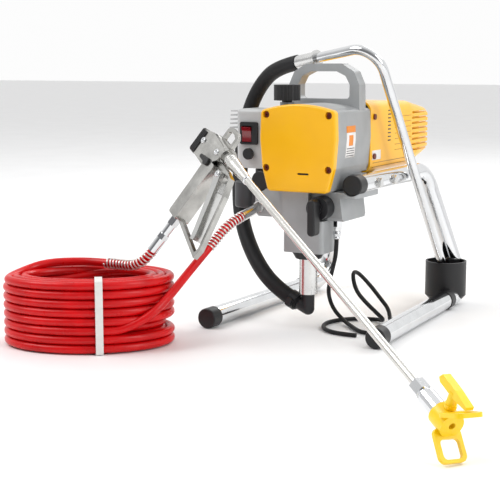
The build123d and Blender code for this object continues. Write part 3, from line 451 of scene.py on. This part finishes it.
def round_ring(bm, centre, normal, other, radius, sides, unit=1):
    """Circle of vertices in the plane of two directions; unit turns its numbers into metres."""
    ring = []
    for side in range(sides):
        turn = 2 * math.pi * side / sides
        around = normal * math.cos(turn) + other * math.sin(turn)
        ring.append(bm.verts.new((centre + around * radius) * unit))
    return ring


def skin(bm, rings):
    """Faces between neighbouring closed rings, and a cap on each end."""
    for near, far in zip(rings, rings[1:]):
        for index in range(len(near)):
            after = (index + 1) % len(near)
            bm.faces.new((near[index], near[after], far[after], far[index]))
    bm.faces.new(reversed(rings[0]))
    bm.faces.new(rings[-1])


def tube_along(bm, points, radius, sides=8):
    """A thin round tube through points, in metres."""
    rings = []
    normal = None
    for index, point in enumerate(points):
        ahead = points[min(index + 1, len(points) - 1)] - points[max(index - 1, 0)]
        ahead.normalize()
        if normal is None:
            normal = ahead.orthogonal()
        normal = (normal - ahead * normal.dot(ahead)).normalized()
        rings.append(round_ring(bm, point, normal, ahead.cross(normal), radius, sides))
    skin(bm, rings)


GUARD_PITCH = 0.0058
GUARD_R = 0.0074
GUARD_WIRE = 0.0013


def spring_guard(name, line, length):
    """Helical wire wound over the start of a hose, in metres."""
    walked = 0.0
    normal = None
    helix = []
    for before, after in zip(line, line[1:]):
        run = (after - before).length
        ahead = (after - before) / run
        if normal is None:
            normal = ahead.orthogonal()
        normal = (normal - ahead * normal.dot(ahead)).normalized()
        other = ahead.cross(normal)
        steps = max(1, int(run / (GUARD_PITCH / 12)))
        for step in range(steps):
            share = step / steps
            angle = 2 * math.pi * (walked + run * share) / GUARD_PITCH
            around = normal * math.cos(angle) + other * math.sin(angle)
            helix.append(before + ahead * run * share + around * GUARD_R)
        walked += run
        if walked > length:
            break
    bm = bmesh.new()
    tube_along(bm, helix, GUARD_WIRE, 6)
    return mesh_object(name, bm, spring_steel)


spring_a = spring_guard("spring_guard_pump", hose_line, 0.078)
spring_b = spring_guard("spring_guard_gun", hose_line[::-1], 0.080)
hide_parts("hose_springs")


TIE_TURN = math.radians(-78)  # where the tie sits round the coil


def tie_band():
    """Band pulled tight round the section of the coil, dipping between the turns."""
    turn = Matrix.Rotation(COIL_TURN, 3, "Z")
    mid_a, mid_b = COIL_A - 1.5 * COLUMN_PITCH, COIL_B - 1.5 * COLUMN_PITCH
    spot = Vector((mid_a * math.cos(TIE_TURN), mid_b * math.sin(TIE_TURN), 0))
    inward = turn @ Vector((-mid_b * math.cos(TIE_TURN), -mid_a * math.sin(TIE_TURN), 0)).normalized()
    sideways = Vector((inward.y, -inward.x, 0))
    middle = COIL_CENTRE + turn @ spot
    half, top = 20.2, 107.2
    path = []
    for index in range(33):
        z = 1.0 + index * (top - 2.0) / 32
        wave = math.cos(2 * math.pi * (z - FIRST_LAYER) / LAYER_PITCH)
        path.append((-half - 0.55 + 0.5 * wave, z))
    path += [(-half + 3, top), (-half + 13, top + 0.1), (half - 13, top + 0.1), (half - 3, top)]
    path += [(half, top - 2.5), (half, 60), (half, 3), (half - 2, 0.6), (0, 0.4), (-half + 2, 0.6)]
    bm = bmesh.new()
    rings = []
    for across, z in path:
        centre = middle + inward * across + Vector((0, 0, z))
        ring = [bm.verts.new((centre + sideways * side) * MM) for side in (-5.5, -4.8, 0, 4.8, 5.5)]
        rings.append(ring)
    for lower, upper in zip(rings, rings[1:] + rings[:1]):
        for index in range(4):
            bm.faces.new((lower[index], lower[index + 1], upper[index + 1], upper[index]))
    obj = mesh_object("coil_tie_band", bm, white_plastic)
    thick = obj.modifiers.new("thickness", "SOLIDIFY")
    thick.thickness = 0.9 * MM
    thick.offset = 0.0
    return obj


tie = tie_band()
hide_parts("coil_tie")


# ------------------------------------------- labels, slats and other details
def strip(name, node, corners, material, lift=0.25, cells=(6, 10), side=1):
    """Thin panel laid on one side of a CAD piece; corners give its span in Y and Z, in millimetres."""
    (y_low, y_high), (z_low, z_high) = corners
    bm = bmesh.new()
    grid = []
    for i in range(cells[0] + 1):
        row = []
        for j in range(cells[1] + 1):
            y = (y_low + (y_high - y_low) * i / cells[0]) * MM
            z = (z_low + (z_high - z_low) * j / cells[1]) * MM
            start, inward = Vector((side * 0.2, y, z)), Vector((-side, 0, 0))
            hit, place, _, _ = nodes[node].ray_cast(start, inward)
            if not hit:
                place = Vector((side * 0.06, y, z))
            row.append(bm.verts.new((place.x + side * lift * MM, y, z)))
        grid.append(row)
    for i in range(cells[0]):
        for j in range(cells[1]):
            face = (grid[i][j], grid[i + 1][j], grid[i + 1][j + 1], grid[i][j + 1])
            bm.faces.new(face if side > 0 else face[::-1])
    obj = mesh_object(name, bm, material)
    thick = obj.modifiers.new("thickness", "SOLIDIFY")
    thick.thickness = 2 * lift * MM
    thick.offset = -1.0
    return obj


def bar(bm, low, high, round_off=0.4):
    """Bar with rounded long edges between two corners, in millimetres."""
    (x0, y0, z0), (x1, y1, z1) = low, high
    r = min(round_off, (x1 - x0) / 3, (z1 - z0) / 3)
    section = [
        (x0 + r, z0), (x1 - r, z0), (x1, z0 + r), (x1, z1 - r),
        (x1 - r, z1), (x0 + r, z1), (x0, z1 - r), (x0, z0 + r),
    ]
    rings = []
    for y, inset in ((y0, r), (y0 + r, 0.0), (y1 - r, 0.0), (y1, r)):
        ring = []
        for x, z in section:
            x = min(max(x, x0 + inset), x1 - inset)
            z = min(max(z, z0 + inset), z1 - inset)
            ring.append(bm.verts.new((x * MM, y * MM, z * MM)))
        rings.append(ring)
    skin(bm, rings[::-1])


strip("side_label", "gear_housing", ((-97, -64), (271, 309)), label_paper)
strip("side_label_top", "gear_housing", ((-97, -64), (309, 319)), label_orange)
strip("side_label_mark", "gear_housing", ((-88, -73), (289, 305)), label_orange, 0.45)
for row in range(4):
    strip("side_label_row_%d" % row, "gear_housing", ((-94, -67), (273.5 + 3.6 * row, 274.6 + 3.6 * row)),
          black_plastic, 0.45, (6, 1))
strip("shroud_label", "motor_shroud", ((2, 36), (261, 276)), label_paper)
for side, tag in ((1, "right"), (-1, "left")):
    for row, z in enumerate((249, 256)):
        strip("shroud_line_%s_%d" % (tag, row), "motor_shroud", ((4, 158), (z, z + 0.9)), seam_dark, 0.2,
              (20, 1), side)
    # Black strips laid where the vent slits are: painted shade inside the openings.
    for row in range(9):
        strip("shroud_slit_shade_%s_%d" % (tag, row), "motor_shroud", ((66, 78), (288 + 6 * row, 290 + 6 * row)),
              black_plastic, 0.2, (4, 1), side)
    for row in range(7):
        strip("shroud_groove_%s_%d" % (tag, row), "motor_shroud",
              ((96, 168), (271.5 + 9 * row, 272.3 + 9 * row)), seam_dark, 0.2, (10, 1), side)
bm = bmesh.new()
for side in (-1, 1):
    for row in range(8):
        z = 267 + 9 * row
        x = sorted((side * 56.6, side * 58.4))
        bar(bm, (x[0], 176, z - 1.0), (x[1], 250, z + 0.7), 0.3)
mesh_object("shroud_slats", bm, yellow)

# Black bar laid where the front cover's slot is: painted shade inside the opening.
bm = bmesh.new()
bar(bm, (1.6, -136.9, 246.7), (19.4, -135.8, 249.3), 0.3)
mesh_object("cover_slot_shade", bm, black_plastic)


def gun_cap():
    """Ribbed dark cap over the rear of the gun's head."""
    outline = [(4.8, 10.5), (2.8, 12.9), (-30.2, 12.9), (-33.0, 10.5), (-33.0, -10.5), (-30.2, -12.9),
               (2.8, -12.9), (4.8, -10.5)]
    y_mid = -14.1
    bm = bmesh.new()
    rings = []
    for index in range(15):
        x = -53.2 + index
        swell = 0.9 if index % 4 in (1, 2) else 0.0
        if index == 0:
            swell = -1.2
        ring = []
        for y, z in outline:
            grown_y = y_mid + (y - y_mid) * (1 + swell / 19)
            grown_z = z * (1 + swell / 13)
            ring.append(bm.verts.new(gun_point(x, grown_y, grown_z) * MM))
        rings.append(ring)
    skin(bm, rings)
    bmesh.ops.recalc_face_normals(bm, faces=bm.faces)
    cap = mesh_object("gun_end_cap", bm, black_plastic)
    for polygon in cap.data.polygons:
        polygon.use_smooth = False


gun_cap()


def turned_piece(name, base, axis, profile, material, sides=20):
    """Turned piece: profile gives (along, radius) in millimetres from its base point."""
    axis = axis.normalized()
    normal = axis.orthogonal().normalized()
    other = axis.cross(normal)
    bm = bmesh.new()
    skin(bm, [round_ring(bm, base + axis * along, normal, other, radius, sides, MM)
              for along, radius in profile])
    soften(mesh_object(name, bm, material), 0.3)


# each profile is (along, radius); each bolt is (along the gun, up, out from its middle)
BOLT = [(0, 5.0), (1.6, 5.0), (2.4, 4.2), (2.4, 2.4), (1.2, 2.2)]
GRIP_RING = [(0, 9.4), (0.6, 10.1), (1.6, 10.1), (2.2, 9.4)]
COLLAR = [(0, 6.1), (1, 6.8), (4, 6.8), (5, 5.6)]
BARB_NUT = [(0, 5.4), (1, 6.2), (5, 6.2), (6, 5.0), (9, 4.6), (10, 5.2), (12, 4.4)]
GUN_BOLTS = [(-34, -8, 12.0), (12, -4, 12.0), (46, -24, 11.8)]
for number, (x, y, out) in enumerate(GUN_BOLTS):
    for side, tag in ((1, "near"), (-1, "far")):
        turned_piece("gun_bolt_%d_%s" % (number, tag), gun_point(x, y, side * out), GUN_SIDE * side,
                     BOLT, chrome)
for number in range(3):
    turned_piece("grip_ring_%d" % number, gun_point(36 + 5 * number, 0), GUN_AXIS, GRIP_RING,
                 plated, 28)
turned_piece("pole_collar", gun_point(94, 0), GUN_AXIS, COLLAR, chrome, 28)
turned_piece("barb_nut", Vector((50, -100, 160)), Vector((0, 0, -1)), BARB_NUT, chrome, 12)


# ------------------------------------------------------------------ stage
FLOOR_SIZE = 40.0
FLOOR_CELLS = 20
FLOOR_TOP = -0.0004


def add_floor():
    """Plain pale floor just under the object."""
    bm = bmesh.new()
    steps = [FLOOR_SIZE * (index / FLOOR_CELLS - 0.5) for index in range(FLOOR_CELLS + 1)]
    grid = [[bm.verts.new((x, y, FLOOR_TOP)) for y in steps] for x in steps]
    for i in range(FLOOR_CELLS):
        for j in range(FLOOR_CELLS):
            bm.faces.new((grid[i][j], grid[i + 1][j], grid[i + 1][j + 1], grid[i][j + 1]))
    mesh = bpy.data.meshes.new("floor")
    bm.to_mesh(mesh)
    bm.free()
    floor = bpy.data.objects.new("floor", mesh)
    scene.collection.objects.link(floor)
    s = Shader("pale_floor", 0.7)
    s.colour(s.ramp(s.noise(6), (0.90, 0.90, 0.90), (0.93, 0.93, 0.93)))
    mesh.materials.append(s.material)


def add_light(name, place, aim, size, power):
    """Soft rectangular lamp that faces a point."""
    data = bpy.data.lights.new(name, "AREA")
    data.shape = "RECTANGLE"
    data.size = size[0]
    data.size_y = size[1]
    data.energy = power
    lamp = bpy.data.objects.new(name, data)
    lamp.location = place
    lamp.rotation_euler = (Vector(aim) - Vector(place)).to_track_quat("-Z", "Y").to_euler()
    scene.collection.objects.link(lamp)


def add_world():
    """White room that is darker in front of the object, so that metal shows form."""
    world = bpy.data.worlds.new("studio")
    world.use_nodes = True
    tree = world.node_tree
    place = tree.nodes.new("ShaderNodeTexCoord")
    split = tree.nodes.new("ShaderNodeSeparateXYZ")
    tree.links.new(place.outputs["Generated"], split.inputs["Vector"])
    ramp = tree.nodes.new("ShaderNodeValToRGB")
    ramp.color_ramp.elements[0].position = 0.0
    ramp.color_ramp.elements[0].color = (0.22, 0.22, 0.23, 1)
    ramp.color_ramp.elements[1].position = 0.62
    ramp.color_ramp.elements[1].color = (1, 1, 1, 1)
    shift = tree.nodes.new("ShaderNodeMapRange")
    shift.inputs["From Min"].default_value = -0.9
    shift.inputs["From Max"].default_value = 0.6
    tree.links.new(split.outputs["Y"], shift.inputs["Value"])
    tree.links.new(shift.outputs["Result"], ramp.inputs["Fac"])
    tree.links.new(ramp.outputs["Color"], tree.nodes["Background"].inputs["Color"])
    tree.nodes["Background"].inputs["Strength"].default_value = 0.98
    scene.world = world


add_floor()
add_light("key", (-1.6, -1.6, 2.6), (0, -0.1, 0.2), (1.8, 1.8), 50)
add_light("fill", (2.6, -0.8, 1.6), (0, -0.1, 0.2), (0.8, 2.0), 26)
add_light("back", (0.4, 2.6, 2.4), (0, 0, 0.2), (2.4, 1.0), 34)
add_world()
scene.view_settings.view_transform = "Standard"
